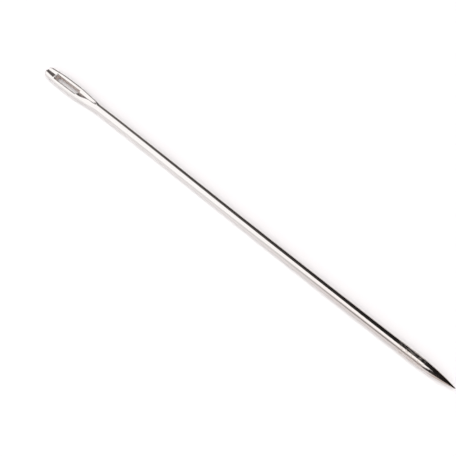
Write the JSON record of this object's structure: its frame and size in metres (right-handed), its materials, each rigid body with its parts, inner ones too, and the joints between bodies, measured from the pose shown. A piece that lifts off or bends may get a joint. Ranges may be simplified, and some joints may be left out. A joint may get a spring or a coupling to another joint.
{
  "type": "large-eye needle",
  "caption": "Long one-piece steel needle with a round shaft, a ground conical point and a flattened head with a long thread eye.",
  "frame": {"origin": "on the shaft's axis, half way between the blunt head end and the tip", "axes": "+X along the needle from the head to the point, +Z through the eye and square to the head's flats, +Y across the head"},
  "size_m": [0.127, 0.0038, 0.0024],
  "materials": {
    "plated_steel": "bright nickel-like plating over drawn carbon steel, fine marks along the shaft, brown handling marks near the point, darker and rougher on the ground point"
  },
  "bodies": {
    "root": {"needle": "plated_steel"}
  },
  "joints": []
}
